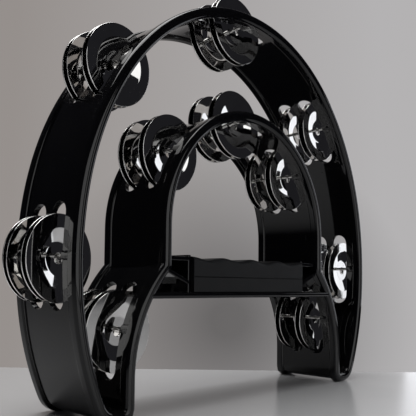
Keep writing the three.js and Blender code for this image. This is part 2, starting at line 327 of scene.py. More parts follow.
def make_dust():
    """Specks that have settled on what faces up."""
    tree, given, out = new_group("settled_dust", ["Mask"])
    position, scale = given.outputs["Position"], given.outputs["Scale"]
    geometry = add_node(tree, "ShaderNodeNewGeometry")
    split = add_node(tree, "ShaderNodeSeparateXYZ")
    link(tree, geometry.outputs["Normal"], split.inputs["Vector"])
    facing_up = remap(tree, split.outputs["Z"], 0.1, 0.95)
    specks = remap(tree, noise(tree, position, scale, detail=1), 0.70, 0.78)
    film = remap(tree, noise(tree, position, 55, detail=5), 0.35, 0.8, 0.0, 0.35)
    both = calculate(tree, "MAXIMUM", specks, film)
    link(tree, calculate(tree, "MULTIPLY", both, facing_up), out.inputs["Mask"])
    return tree


def make_grain():
    """Small raised grains, as on moulded rubber or a worn mould."""
    tree, given, out = new_group("fine_grain", ["Mask", "Height"])
    position, scale = given.outputs["Position"], given.outputs["Scale"]
    cells = add_node(tree, "ShaderNodeTexVoronoi", feature="F1")
    link(tree, position, cells.inputs["Vector"])
    link(tree, scale, cells.inputs["Scale"])
    bumps = remap(tree, cells.outputs["Distance"], 0.15, 0.6, 1.0, 0.0)
    soft = noise(tree, position, scale, detail=4)
    link(tree, calculate(tree, "MULTIPLY", bumps, soft), out.inputs["Height"])
    link(tree, remap(tree, noise(tree, position, 90, detail=4), 0.35, 0.65), out.inputs["Mask"])
    return tree


RUBBING = make_rubbing()
DUST = make_dust()
GRAIN = make_grain()
print("groups", [tree.name for tree in bpy.data.node_groups])


# %% Helpers for materials
def new_material(name):
    material = bpy.data.materials.new(name)
    material.use_nodes = True
    tree = material.node_tree
    shader = tree.nodes["Principled BSDF"]
    position = add_node(tree, "ShaderNodeTexCoord").outputs["Object"]
    return material, tree, shader, position


def place_group(tree, group, position, scale):
    made = add_node(tree, "ShaderNodeGroup")
    made.node_tree = group
    made.inputs["Scale"].default_value = scale
    link(tree, position, made.inputs["Position"])
    return made


def bump(tree, height, shader, distance, strength):
    made = add_node(tree, "ShaderNodeBump")
    made.inputs["Distance"].default_value = distance
    made.inputs["Strength"].default_value = strength
    link(tree, height, made.inputs["Height"])
    link(tree, made.outputs["Normal"], shader.inputs["Normal"])
    return made


# %% [markdown]
# ### Black moulded plastic
#
# Polished black plastic is nearly all reflection: its own colour is close to nothing, and what the
# eye reads is the light that the smooth skin throws back. A very faint swell in the surface keeps
# the reflections from looking drawn with a ruler, and dust and rubbing marks break up the gloss.

# %% Material: frame plastic
def make_frame_plastic():
    material, tree, shader, position = new_material("black_plastic")
    rubbing = place_group(tree, RUBBING, position, 60)
    dust = place_group(tree, DUST, position, 1500)
    colour = tint(tree, dust.outputs["Mask"], (0.0028, 0.0028, 0.0036), (0.030, 0.029, 0.028))
    link(tree, colour, shader.inputs["Base Color"])
    marks = calculate(tree, "MAXIMUM", rubbing.outputs["Mask"], dust.outputs["Mask"])
    link(tree, remap(tree, marks, 0, 1, 0.05, 0.30), shader.inputs["Roughness"])
    swell = noise(tree, position, 26, detail=2)
    bump(tree, swell, shader, 0.2 * MM, 0.06)
    shader.inputs["IOR"].default_value = 1.48
    return material


FRAME_PLASTIC = make_frame_plastic()

# %% [markdown]
# ### Soft cover
#
# The cover is a dull rubber with a fine eroded grain. Grain scatters the light, so its reflections
# are wide and weak, and it looks a shade lighter where the grain is worn by the fingers.

# %% Material: cover rubber
def make_cover_rubber():
    material, tree, shader, position = new_material("grip_rubber")
    grain = place_group(tree, GRAIN, position, 1500)
    dust = place_group(tree, DUST, position, 1900)
    mask = calculate(tree, "MAXIMUM", grain.outputs["Mask"], dust.outputs["Mask"])
    link(tree, tint(tree, mask, (0.0016, 0.0017, 0.0024), (0.0042, 0.0044, 0.0056)),
         shader.inputs["Base Color"])
    link(tree, remap(tree, grain.outputs["Mask"], 0, 1, 0.46, 0.62), shader.inputs["Roughness"])
    bump(tree, grain.outputs["Height"], shader, 0.15 * MM, 0.5)
    shader.inputs["Specular IOR Level"].default_value = 0.3
    return material


COVER_RUBBER = make_cover_rubber()

# %% [markdown]
# ### Nickel and steel
#
# A pressed jingle is polished before it is plated, on a wheel that runs round its axis. The marks
# it leaves are rings, so the ring pattern reads a map that runs round and across the disc, not the
# room's axes. The pins are drawn wire, duller, with marks along their length.

# %% Materials: nickel and steel
DISC_MAP = "round_and_across"


def make_nickel():
    material, tree, shader, position = new_material("bright_nickel")
    disc = add_node(tree, "ShaderNodeUVMap", uv_map=DISC_MAP).outputs["UV"]
    rings = noise(tree, disc, 1, detail=2, stretch=(3, 240, 1))
    rubbing = place_group(tree, RUBBING, position, 210)
    tarnish = remap(tree, noise(tree, position, 70, detail=5), 0.4, 0.75)
    link(tree, tint(tree, tarnish, (0.90, 0.895, 0.885), (0.80, 0.79, 0.77)), shader.inputs["Base Color"])
    marks = calculate(tree, "MAXIMUM", rubbing.outputs["Mask"], remap(tree, rings, 0.6, 0.8, 0, 0.5))
    link(tree, remap(tree, marks, 0, 1, 0.035, 0.17), shader.inputs["Roughness"])
    swell = noise(tree, position, 95, detail=2)
    bump(tree, swell, shader, 0.05 * MM, 0.06)
    shader.inputs["Metallic"].default_value = 1.0
    return material


def make_steel():
    material, tree, shader, position = new_material("drawn_steel")
    drawn = noise(tree, position, 900, detail=2, stretch=(1, 0.05, 1))
    rubbing = place_group(tree, RUBBING, position, 160)
    link(tree, tint(tree, drawn, (0.52, 0.51, 0.49), (0.70, 0.69, 0.67)), shader.inputs["Base Color"])
    both = calculate(tree, "MAXIMUM", drawn, rubbing.outputs["Mask"])
    link(tree, remap(tree, both, 0.3, 1, 0.18, 0.38), shader.inputs["Roughness"])
    shader.inputs["Metallic"].default_value = 1.0
    return material


NICKEL = make_nickel()
STEEL = make_steel()
print("materials", [material.name for material in (FRAME_PLASTIC, COVER_RUBBER, NICKEL, STEEL)])

# %% [markdown]
# ## The line of the band
#
# The frame is one continuous band: up the outer arch, round a foot, up the leg and over the inner
# arch. A formula gives each stretch, so the line is exact at any spacing. The line is first drawn
# very finely, and points are then taken from it at even steps that fall exactly on the ends of
# the slots, so that the slots can later be opened by taking out whole faces.

# %% Formula of the line
FINE = 400
FOOT_STEPS = 24


def outer_point(angle):
    power = 2 / OUTER_POWER
    c, s = math.cos(angle), math.sin(angle)
    height = -OUTER_FALL if s < 0 else OUTER_RISE
    return Vector((
        math.copysign(abs(c) ** power, c) * OUTER_HALF_WIDTH,
        OUTER_WAIST + height * abs(s) ** power,
    ))


def outer_angle_at(level_z):
    return -math.asin(((OUTER_WAIST - level_z) / OUTER_FALL) ** (OUTER_POWER / 2))


def leg_point(level_z):
    centre = LEG_HALF_SPAN - LEG_RADIUS
    return Vector((centre + math.sqrt(LEG_RADIUS**2 - (level_z - LEG_ARC_END) ** 2), level_z))


def foot_curve(start, corner, finish):
    """A quarter-like curve between two points, pulled towards a corner."""
    points = []
    for step in range(FOOT_STEPS + 1):
        t = step / FOOT_STEPS
        points.append(start * (1 - t) ** 2 + corner * 2 * t * (1 - t) + finish * t**2)
    return points


def right_half():
    """From the outer crown round the right foot to the inner crown, with its sharp corner."""
    last = outer_angle_at(BASE + FOOT_ROUND_OUTER)
    turn = last - math.pi / 2
    points = [outer_point(math.pi / 2 + turn * step / FINE) for step in range(FINE + 1)]
    corner = Vector((outer_point(outer_angle_at(BASE)).x, BASE))
    flat_out = corner - Vector((FOOT_ROUND_OUTER, 0))
    flat_in = Vector((LEG_HALF_SPAN + FOOT_ROUND_INNER, BASE))
    inner_corner = Vector((LEG_HALF_SPAN, BASE))
    leg_foot = Vector((LEG_HALF_SPAN, BASE + FOOT_ROUND_INNER))
    points += foot_curve(points[-1], corner, flat_out)[1:]
    points += foot_curve(flat_in, inner_corner, leg_foot)
    steps = FINE // 4
    points += [leg_point(LEG_ARC_END + (KINK - LEG_ARC_END) * i / steps) for i in range(steps)]
    kink = len(points)
    points.append(Vector((INNER_HALF_WIDTH, KINK)))
    for i in range(FINE // 2 + 1):
        angle = math.pi / 2 * i / (FINE // 2)
        level_z = INNER_SPRING + INNER_RISE * math.sin(angle)
        points.append(Vector((INNER_HALF_WIDTH * math.cos(angle), level_z)))
    return points, kink


def whole_line():
    """The closed line, and how far along it the two sharp corners lie."""
    half, kink = right_half()
    mirrored = [Vector((-point.x, point.y)) for point in reversed(half[1:-1])]
    points = half + mirrored
    lengths = [0.0]
    for before, after in zip(points, points[1:] + points[:1]):
        lengths.append(lengths[-1] + (after - before).length)
    corners = [lengths[kink], lengths[len(points) - kink]]
    return points, lengths, corners


LINE, LENGTHS, CORNERS = whole_line()
TOTAL = LENGTHS[-1]


def at_length(distance):
    """The point of the line that lies a distance along it."""
    distance %= TOTAL
    i = min(bisect.bisect_right(LENGTHS, distance) - 1, len(LINE) - 1)
    share = (distance - LENGTHS[i]) / (LENGTHS[i + 1] - LENGTHS[i])
    return LINE[i].lerp(LINE[(i + 1) % len(LINE)], share)


print("the band is", round(TOTAL / MM), "mm round")

# %% Steps along the line, with one at each end of every slot
SPACING = 2.4 * MM
SLOT_WIDTH = 12 * MM
SLOT_END_CLEARANCE = 4.6 * MM
SLOT_END_TURNS = 5
jingle_low, jingle_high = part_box("jingle_crown_front_a")
JINGLE_RADIUS = (jingle_high.x - jingle_low.x) / 2
SLOT_HALF = JINGLE_RADIUS + SLOT_END_CLEARANCE


def slot_ends(station):
    """How far along the line a slot begins and ends: its half length is measured straight."""
    place = Vector((station.x, station.z))
    nearest = min(range(len(LINE)), key=lambda i: (LINE[i] - place).length)
    middle = LENGTHS[nearest]
    found = []
    for way in (-1, 1):
        low, high = 0.0, 2 * SLOT_HALF
        for _ in range(40):
            half = (low + high) / 2
            if (at_length(middle + way * half) - place).length > SLOT_HALF:
                high = half
            else:
                low = half
        found.append((middle + way * high) % TOTAL)
    return found


def round_end():
    """Each step of a slot's round end: how far it is from the tip, and the slot's half width there."""
    turns = [math.pi / 2 * i / SLOT_END_TURNS for i in range(SLOT_END_TURNS + 1)]
    return [(SLOT_WIDTH / 2 * (1 - math.cos(turn)), SLOT_WIDTH / 2 * math.sin(turn)) for turn in turns]


NARROW_AT = {}
for station in STATIONS.values():
    for tip, inwards in zip(slot_ends(station), (1, -1)):
        for away, half_width in round_end():
            NARROW_AT[round((tip + inwards * away) % TOTAL, 7)] = half_width


def steps_along():
    marks = {round(value, 7) for value in CORNERS} | set(NARROW_AT)
    marks = sorted(marks)
    steps = []
    for start, end in zip(marks, marks[1:] + [marks[0] + TOTAL]):
        count = max(1, round((end - start) / SPACING))
        steps += [start + (end - start) * i / count for i in range(count)]
    return steps


STEPS = steps_along()
HALF_WIDTHS = {i: NARROW_AT[step] for i, step in enumerate(STEPS) if step in NARROW_AT}
SPOTS = [at_length(distance) for distance in STEPS]


def sideways(i):
    """The direction square to the line at a step, lengthened at a corner so the wall keeps its thickness."""
    arriving = (SPOTS[i] - SPOTS[i - 1]).normalized()
    leaving = (SPOTS[(i + 1) % len(SPOTS)] - SPOTS[i]).normalized()
    normal = Vector((-arriving.y - leaving.y, arriving.x + leaving.x)).normalized()
    return normal / (normal.y * leaving.x - normal.x * leaving.y)


SIDEWAYS = [sideways(i) for i in range(len(SPOTS))]
print(len(SPOTS), "steps round the band")

# %% [markdown]
# ## The section of the band
#
# Cut across, the band is a thin wall with a thick bead on each open edge. The bead stiffens the
# moulding and is kind to the hands. Its front is rounded almost to its middle, so it catches a
# narrow line of light from each panel.
#
# The section could be a curve's bevel profile, but a curve thins the wall at the sharp corners.
# Here a ring of points is extruded round the section, and each new ring is put in its place.

# %% Points of the section
rear_pair_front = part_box("jingle_crown_rear_a")[0].y
rear_pair_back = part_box("jingle_crown_rear_b")[1].y
ROW = (rear_pair_front + rear_pair_back) / 2
LIP_RISE = 2.2 * MM
VALLEY = 0.05 * MM
NECK_ROUND = 0.8 * MM
BACK_ROUND = 0.9 * MM
LIP_TOP = 0.5 * MM


def quarter(centre, out, deep, start, finish, steps):
    """Points of an elliptical arc; each point is a distance from the wall's middle and a depth."""
    points = []
    for step in range(steps + 1):
        angle = math.radians(start + (finish - start) * step / steps)
        points.append((centre[0] + out * math.cos(angle), centre[1] + deep * math.sin(angle)))
    return points


def bead_side():
    """From the wall to the bead's middle: out from the wall's middle, and down from the face."""
    neck = (WALL / 2 + NECK_ROUND, BEAD + NECK_ROUND * 0.6)
    points = quarter(neck, NECK_ROUND, -NECK_ROUND * 0.6, 180, 90, 3)
    heel = (BEAD / 2 - BACK_ROUND, BEAD - BACK_ROUND)
    points += quarter(heel, BACK_ROUND, BACK_ROUND, 75, 0, 3)
    lip = (LIP_TOP, LIP_RISE)
    points += quarter(lip, BEAD / 2 - LIP_TOP, -LIP_RISE, 0, 90, 7)
    for step in range(1, 5):
        share = step / 4
        depth = VALLEY * (1 - math.cos(math.pi * share)) / 2
        points.append((LIP_TOP * (1 - share), depth))
    return points


def section():
    """The closed section as pairs of distance out and place along y."""
    slot_edges = [ROW - SLOT_WIDTH / 2, ROW + SLOT_WIDTH / 2]
    wall = [(WALL / 2, -edge) for edge in slot_edges]
    bead = [(out, deep - FACE) for out, deep in bead_side()]
    quarter_loop = wall + bead
    inner = [(-out, y) for out, y in reversed(quarter_loop[:-1])]
    front = quarter_loop + inner
    rear = [(-out, -y) for out, y in front]
    return front + rear


SECTION = section()
print(len(SECTION), "points in the section")


# %% Extrude the ring round the section
def ring_places(out, y):
    places = []
    for spot, normal in zip(SPOTS, SIDEWAYS):
        moved = spot + normal * out
        places.append(Vector((moved.x, y, moved.y)))
    return places


def build_band():
    deselect_everything()
    bpy.ops.mesh.primitive_circle_add(vertices=len(SPOTS), radius=OUTER_HALF_WIDTH)
    band = name_new("moulded_frame")
    mesh = band.data
    order = mesh.attributes.new("step", "INT", "POINT")
    order.data.foreach_set("value", list(range(len(SPOTS))))
    for vertex, place in zip(mesh.vertices, ring_places(*SECTION[0])):
        vertex.co = place
    for out, y in SECTION[1:]:
        bpy.ops.object.mode_set(mode="EDIT")
        bpy.ops.mesh.extrude_region_move()
        bpy.ops.object.mode_set(mode="OBJECT")
        steps = mesh.attributes["step"].data
        places = ring_places(out, y)
        for vertex in mesh.vertices:
            if vertex.select:
                vertex.co = places[steps[vertex.index].value]
    pick(band, "EDGE", lambda edge: open_edge(band, edge))
    bpy.ops.mesh.bridge_edge_loops()
    bpy.ops.object.mode_set(mode="OBJECT")
    tidy_normals(band)
    return band


def open_edge(piece, edge):
    """Whether an edge belongs to the first or the last ring."""
    steps = piece.data.attributes["step"].data
    for out, y in (SECTION[0], SECTION[-1]):
        matches = 0
        for index in edge.vertices:
            step = steps[index].value
            place = SPOTS[step] + SIDEWAYS[step] * out
            point = piece.data.vertices[index].co
            if (Vector((place.x, y, place.y)) - point).length < 0.001 * MM:
                matches += 1
        if matches == 2:
            return True
    return False


moulded_frame = build_band()
print("band faces", len(moulded_frame.data.polygons))

# %% [markdown]
# ## The slots
#
# Each station has two slots with round ends, one for the front pair and one for the rear pair. A
# boolean cut would do it, but it leaves long thin faces that spoil the gloss. The band's points
# already fall on the slots' edges, so the faces of each slot are deleted and the two openings
# that are left are bridged. Their rims are then bevelled a little, as a mould always leaves them.

# %% Open the slots
SLOT_ROUND = 0.25 * MM


def narrow_slot_ends(band):
    """Moves the edges of each slot together towards its tips, so that its ends are round."""
    steps = band.data.attributes["step"].data
    for vertex in band.data.vertices:
        half_width = HALF_WIDTHS.get(steps[vertex.index].value)
        if half_width is None:
            continue
        for row in (-ROW, ROW):
            away = vertex.co.y - row
            if abs(abs(away) - SLOT_WIDTH / 2) < NEAR:
                vertex.co.y = row + math.copysign(half_width, away)
    tidy_normals(band)


def in_slot(point, station, row):
    """Whether a point of the wall lies inside a slot, seen along y and square to the wall."""
    across = abs(point.y - row) < SLOT_WIDTH / 4
    reach = (Vector((point.x, point.z)) - Vector((station.x, station.z))).length
    return across and reach < SLOT_HALF + 0.2 * MM


def open_slot(band, station, row):
    pick(band, "FACE", lambda face: in_slot(face.center, station, row))
    bpy.ops.mesh.delete(type="FACE")
    bpy.ops.mesh.select_mode(type="EDGE")
    bpy.ops.mesh.select_all(action="DESELECT")
    bpy.ops.mesh.select_non_manifold(extend=False, use_multi_face=False, use_verts=False)
    bpy.ops.mesh.mark_seam()
    bpy.ops.mesh.bridge_edge_loops()
    bpy.ops.object.mode_set(mode="OBJECT")


narrow_slot_ends(moulded_frame)
for station in STATIONS.values():
    for row in (-ROW, ROW):
        open_slot(moulded_frame, station, row)
pick(moulded_frame, "EDGE", lambda edge: edge.use_seam)
bpy.ops.mesh.bevel(offset=SLOT_ROUND, segments=2, affect="EDGES")
bpy.ops.mesh.select_all(action="SELECT")
bpy.ops.mesh.mark_seam(clear=True)
bpy.ops.object.mode_set(mode="OBJECT")
tidy_normals(moulded_frame)
print("band with slots", len(moulded_frame.data.polygons), "faces")

# %% [markdown]
# ## The hand bar and the bosses
#
# The bar spans the inner arch. At each end it has a flat flange on top, a sloping web below it and
# an end plate that frames the soft cover. Two rounded rails run underneath from leg to leg, and a
# hollow ribbed core carries the cover. Small round bosses hold the pins beside the slots.

# %% Sizes of the bar, from the cover's box
cover_low, cover_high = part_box("grip_cover")
BAR_TOP = cover_high.z - 0.1 * MM
BAR_WALL = 2.5 * MM
FIT_GAP = 0.3 * MM
BAR_HALF_LENGTH = cover_high.x + FIT_GAP + BAR_WALL
RAIL_TOP = cover_low.z - FIT_GAP
RAIL_HEIGHT = 3.2 * MM
BAR_BOTTOM = RAIL_TOP - RAIL_HEIGHT
END_PLATE_RISE = 0.9 * MM
GUSSET_DROP = 7 * MM
BAR_DEPTH = 41 * MM
GRIP_WALL = 3 * MM
CORE_TOP = cover_high.z - GRIP_WALL - FIT_GAP
PLATE_DEPTH = FACE - BEAD / 2
RIBS = 3


# %% Bar ends
def web(side):
    """The sloping web: a block whose inner end is moved down by the gusset's fall."""
    inner = BAR_HALF_LENGTH - BAR_WALL / 2
    x_low, x_high = sorted((side * inner, side * INNER_HALF_WIDTH))
    piece = rounded_block(
        f"web_{side}", (x_low, -PLATE_DEPTH, KINK - BAR_WALL), (x_high, PLATE_DEPTH, KINK), 0.5 * MM
    )
    pick(piece, "VERT", lambda vertex: abs(vertex.co.x) < (inner + INNER_HALF_WIDTH) / 2)
    bpy.ops.transform.translate(value=(0, 0, -GUSSET_DROP))
    bpy.ops.object.mode_set(mode="OBJECT")
    return piece


def bar_end(side):
    outer = side * INNER_HALF_WIDTH
    inner = side * (BAR_HALF_LENGTH - BAR_WALL / 2)
    x_low, x_high = sorted((outer, inner))
    flange = rounded_block(
        "flange", (x_low, -PLATE_DEPTH, BAR_TOP - BAR_WALL), (x_high, PLATE_DEPTH, BAR_TOP), 0.6 * MM
    )
    x_low, x_high = sorted((side * BAR_HALF_LENGTH, side * (BAR_HALF_LENGTH - BAR_WALL)))
    plate_low = (x_low, -PLATE_DEPTH, BAR_BOTTOM + RAIL_HEIGHT / 2)
    plate_high = (x_high, PLATE_DEPTH, BAR_TOP + END_PLATE_RISE)
    end_plate = rounded_block("end_plate", plate_low, plate_high, 0.7 * MM, segments=4)
    return [flange, end_plate, web(side)]


# %% Rails and core
def rail(side):
    reach = leg_point(BAR_BOTTOM + RAIL_HEIGHT / 2).x
    y_low, y_high = sorted((side * FACE, side * (FACE - BEAD)))
    return rounded_block("rail", (-reach, y_low, BAR_BOTTOM), (reach, y_high, RAIL_TOP), 1.4 * MM, segments=5)


def core():
    reach = BAR_HALF_LENGTH - BAR_WALL / 2
    half = BAR_DEPTH / 2
    soft = 0.4 * MM
    pieces = [rounded_block("core_top", (-reach, -half, CORE_TOP - BAR_WALL), (reach, half, CORE_TOP), soft)]
    for side in (-1, 1):
        y_low, y_high = sorted((side * half, side * (half - BAR_WALL)))
        low = (-reach, y_low, BAR_BOTTOM + RAIL_HEIGHT / 2)
        pieces.append(rounded_block("core_side", low, (reach, y_high, CORE_TOP), soft))
        y_low, y_high = sorted((side * (FACE - BEAD / 2), side * (half - BAR_WALL)))
        low = (-reach, y_low, RAIL_TOP - BAR_WALL)
        pieces.append(rounded_block("core_shelf", low, (reach, y_high, RAIL_TOP), soft))
    for i in range(1, RIBS + 1):
        x = -reach + 2 * reach * i / (RIBS + 1)
        low = (x - BAR_WALL / 2, -half, RAIL_TOP)
        pieces.append(rounded_block("core_rib", low, (x + BAR_WALL / 2, half, CORE_TOP), soft))
    return pieces


# %% Bosses
BOSS_RADIUS = 2.7 * MM


def boss(station, y_low, y_high):
    deselect_everything()
    bpy.ops.mesh.primitive_cylinder_add(
        vertices=28,
        radius=BOSS_RADIUS,
        depth=y_high - y_low,
        location=(station.x, (y_low + y_high) / 2, station.z),
        rotation=(math.pi / 2, 0, 0),
    )
    piece = name_new("boss")
    bpy.ops.object.transform_apply(location=True, rotation=True, scale=True)
    apply_modifier(piece, "BEVEL", width=0.35 * MM, segments=3, limit_method="ANGLE")
    return piece


def bosses():
    near, far = ROW - SLOT_WIDTH / 2, ROW + SLOT_WIDTH / 2
    stretches = [(-PLATE_DEPTH, -far), (-near, near), (far, PLATE_DEPTH)]
    return [boss(station, *stretch) for station in STATIONS.values() for stretch in stretches]


# %% Join the frame
bar_pieces = bar_end(-1) + bar_end(1) + [rail(-1), rail(1)] + core() + bosses()
for piece in bar_pieces:
    smooth(piece)
smooth(moulded_frame)
moulded_frame = join([moulded_frame] + bar_pieces, "moulded_frame")
moulded_frame.data.attributes.remove(moulded_frame.data.attributes["step"])
apply_modifier(moulded_frame, "WEIGHTED_NORMAL", keep_sharp=True)
moulded_frame.data.materials.clear()
moulded_frame.data.materials.append(FRAME_PLASTIC)
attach(moulded_frame, "frame")
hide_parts("frame")
print("frame", len(moulded_frame.data.polygons), "faces")

# %% [markdown]
# ## The soft cover
#
# The cover wraps the front, top and rear of the bar and has four shallow hollows for the fingers.
# It starts as a block that is cut across its length into thin slices, so that the top can follow a
# wave. The long top edges are then rounded, and the channel for the core is cut out below.

# %% Cover
WAVES = 4
WAVE_DEPTH = 1.5 * MM
SLICES = 96
SEAM_LEVEL = 70.8 * MM
SEAM_HALF = 0.28 * MM
SEAM_DEPTH = 0.3 * MM


def slice_across(count):
    """Cuts the selected block by evenly spaced upright planes."""
    length = cover_high.x - cover_low.x
    for i in range(1, count):
        bpy.ops.mesh.select_all(action="SELECT")
        x = cover_low.x + length * i / count
        bpy.ops.mesh.bisect(plane_co=(x, 0, 0), plane_no=(1, 0, 0))


def finger_wave(x):
    """How far the top is pressed down at a place along the bar."""
    share = (x - cover_low.x) / (cover_high.x - cover_low.x)
    return WAVE_DEPTH * (1 - math.cos(2 * math.pi * WAVES * share)) / 2


def build_cover():
    deselect_everything()
    size = cover_high - cover_low
    bpy.ops.mesh.primitive_cube_add(size=1, location=(cover_low + cover_high) / 2, scale=size)
    cover = name_new("soft_cover")
    bpy.ops.object.transform_apply(location=True, rotation=True, scale=True)
    top = cover_high.z
    bpy.ops.object.mode_set(mode="EDIT")
    slice_across(SLICES)
    bpy.ops.object.mode_set(mode="OBJECT")
    for vertex in cover.data.vertices:
        if vertex.co.z > top - NEAR:
            vertex.co.z -= finger_wave(vertex.co.x)
    pick(cover, "EDGE", lambda edge: long_top_edge(cover, edge))
    bpy.ops.mesh.bevel(offset=2.4 * MM, segments=6, affect="EDGES")
    for level_z in (SEAM_LEVEL - SEAM_HALF, SEAM_LEVEL, SEAM_LEVEL + SEAM_HALF):
        bpy.ops.mesh.select_all(action="SELECT")
        bpy.ops.mesh.bisect(plane_co=(0, 0, level_z), plane_no=(0, 0, 1))
    bpy.ops.object.mode_set(mode="OBJECT")
    for vertex in cover.data.vertices:
        if abs(vertex.co.z - SEAM_LEVEL) < NEAR:
            vertex.co.y -= math.copysign(SEAM_DEPTH, vertex.co.y)
    return cover


def long_top_edge(cover, edge):
    first, second = ends(cover, edge)
    outside = min(abs(first.y), abs(second.y)) > cover_high.y - NEAR
    level_run = abs(first.x - second.x) > 0.1 * MM
    return outside and level_run and min(first.z, second.z) > cover_high.z - 2 * WAVE_DEPTH


def cut_channel(cover):
    half = BAR_DEPTH / 2 + FIT_GAP
    reach = BAR_HALF_LENGTH + 5 * MM
    low = (-reach, -half, BAR_BOTTOM - 5 * MM)
    cutter = rounded_block("channel_cutter", low, (reach, half, CORE_TOP + FIT_GAP), 0.5 * MM)
    apply_modifier(cover, "BOOLEAN", operation="DIFFERENCE", solver="EXACT", object=cutter)
    bpy.data.objects.remove(cutter)


soft_cover = build_cover()
cut_channel(soft_cover)
smooth(soft_cover)
soft_cover.data.materials.clear()
soft_cover.data.materials.append(COVER_RUBBER)
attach(soft_cover, "frame")
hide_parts("grip_cover")
print("cover", len(soft_cover.data.polygons), "faces")

# %% [markdown]
# ## A jingle
#
# A jingle is one pressed disc: a flat flange, a sloping ring and a flat middle with a hole. The
# middles of a pair are pressed towards each other, so they meet back to back and the rims stand off.
# It could be spun from a profile. Here it is pressed from a thin round blank by insets, as the
# real one is drawn from sheet: inset for the flange, inset for the slope, raise, inset for the
# hole. Then the creases are bevelled, because sheet metal never bends on a sharp line.

# %% Press the disc
SHEET = 0.6 * MM
RISE = jingle_high.y - jingle_low.y - SHEET
FLANGE = 6.4 * MM
MIDDLE_RADIUS = 7.75 * MM
HOLE_RADIUS = 2.6 * MM
SIDES = 96


def press_side(disc, level_z):
    """Insets one side of the blank down to the hole, and raises the middle."""
    pick(disc, "FACE", lambda face: len(face.vertices) > 4 and abs(face.center.z - level_z) < 0.1 * MM)
    bpy.ops.mesh.inset(thickness=FLANGE, depth=0)
    slope = JINGLE_RADIUS - FLANGE - MIDDLE_RADIUS
    bpy.ops.mesh.inset(thickness=slope, depth=0)
    bpy.ops.transform.translate(value=(0, 0, RISE))
    bpy.ops.mesh.inset(thickness=MIDDLE_RADIUS - HOLE_RADIUS, depth=0)
    bpy.ops.mesh.delete(type="FACE")
    bpy.ops.object.mode_set(mode="OBJECT")


def ring_edge(disc, edge, radius):
    """Whether an edge runs round the axis at a radius."""
    return all(abs(math.hypot(point.x, point.y) - radius) < 0.1 * MM for point in ends(disc, edge)) and abs(
        ends(disc, edge)[0].z - ends(disc, edge)[1].z
    ) < NEAR


def bevel_rings(disc, radius, offset, segments):
    pick(disc, "EDGE", lambda edge: ring_edge(disc, edge, radius))
    bpy.ops.mesh.bevel(offset=offset, segments=segments, affect="EDGES")
    bpy.ops.object.mode_set(mode="OBJECT")


def map_disc(disc):
    """A map that runs round the disc in u and across it in v."""
    layer = disc.data.uv_layers.new(name=DISC_MAP)
    for face in disc.data.polygons:
        turn = math.atan2(face.center.y, face.center.x)
        for corner in face.loop_indices:
            point = disc.data.vertices[disc.data.loops[corner].vertex_index].co
            angle = math.atan2(point.y, point.x)
            if angle - turn > math.pi:
                angle -= 2 * math.pi
            if turn - angle > math.pi:
                angle += 2 * math.pi
            radius = math.hypot(point.x, point.y)
            layer.data[corner].uv = (angle / (2 * math.pi), radius / JINGLE_RADIUS)


def build_disc():
    deselect_everything()
    bpy.ops.mesh.primitive_cylinder_add(
        vertices=SIDES, radius=JINGLE_RADIUS, depth=SHEET, location=(0, 0, SHEET / 2), end_fill_type="NGON"
    )
    disc = name_new("pressed_disc")
    bpy.ops.object.transform_apply(location=True, rotation=True, scale=True)
    press_side(disc, SHEET)
    press_side(disc, 0)
    pick(disc, "EDGE", lambda edge: ring_edge(disc, edge, HOLE_RADIUS))
    bpy.ops.mesh.bridge_edge_loops()
    bpy.ops.object.mode_set(mode="OBJECT")
    bevel_rings(disc, JINGLE_RADIUS, 0.27 * MM, 4)
    bevel_rings(disc, JINGLE_RADIUS - FLANGE, 0.7 * MM, 4)
    bevel_rings(disc, MIDDLE_RADIUS, 0.7 * MM, 4)
    bevel_rings(disc, HOLE_RADIUS, 0.15 * MM, 2)
    tidy_normals(disc)
    smooth(disc)
    apply_modifier(disc, "WEIGHTED_NORMAL", keep_sharp=True)
    map_disc(disc)
    disc.data.materials.clear()
    disc.data.materials.append(NICKEL)
    return disc


pattern_disc = build_disc()
print("disc", len(pattern_disc.data.polygons), "faces")

# %% [markdown]
# ## Forty jingles on their pins
#
# Each copy has its own mesh and its own body. The discs hang loosely, so they don't sit square.
# A disc turns freely about the direction in which the wall runs, because the slot leaves room only
# that way, and each pair leans together. Small differences come from a seeded draw.

# %% Copies, each leaning as it hangs
LEANS = {
    "side_left": 12.0,
    "shoulder_left": 3.0,
    "leg_left": 2.0,
    "inner_left": 3.0,
    "crown": -4.0,
    "inner_crown": -4.0,
}
LEAN_SPREAD = 0.4
draw = random.Random(11)


def wall_direction(station):
    """The direction in which the wall runs past a station, in the plane of the arches."""
    place = Vector((station.x, station.z))
    nearest = min(range(len(SPOTS)), key=lambda i: (SPOTS[i] - place).length)
    run = SPOTS[(nearest + 1) % len(SPOTS)] - SPOTS[nearest - 1]
    direction = Vector((run.x, 0, run.y)).normalized()
    return direction if direction.z > 0 or abs(direction.z) < 0.01 and direction.x > 0 else -direction


